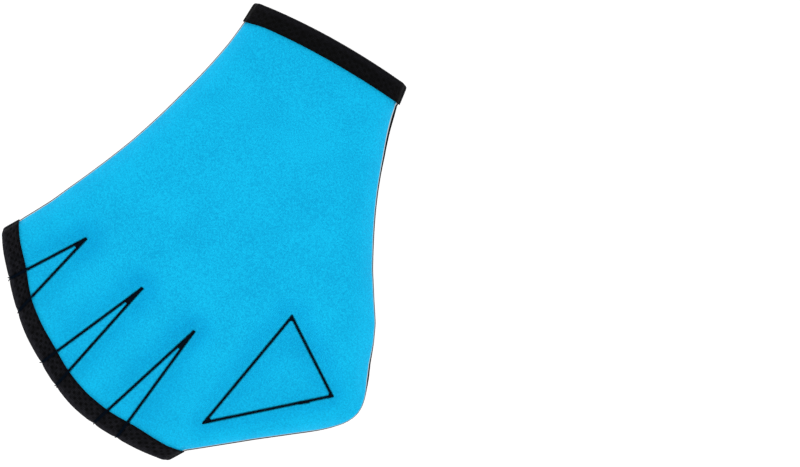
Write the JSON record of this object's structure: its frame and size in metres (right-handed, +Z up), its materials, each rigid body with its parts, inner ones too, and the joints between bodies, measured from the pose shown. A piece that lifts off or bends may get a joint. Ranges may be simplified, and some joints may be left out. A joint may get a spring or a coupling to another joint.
{
  "type": "webbed swim glove",
  "caption": "Fingerless webbed swim glove lying palm down: two neoprene panels with stitched finger webs, a closed thumb pocket and tape-bound wrist and finger mouths.",
  "frame": {"origin": "middle of the outline on the surface that the palm side lies on", "axes": "+Z up out of the back of the hand, +Y from the wrist to the fingers, +X towards the little finger"},
  "size_m": [0.1959, 0.2311, 0.014],
  "materials": {
    "blue_jersey": "matte knitted jersey laminated to neoprene foam",
    "black_jersey": "matte knitted jersey laminated to neoprene foam",
    "black_tape": "matte ribbed binding tape"
  },
  "bodies": {
    "root": {"back_panel": "blue_jersey", "palm_panel": "black_jersey", "wrist_binding": "black_tape", "finger_binding": "black_tape"}
  },
  "joints": []
}
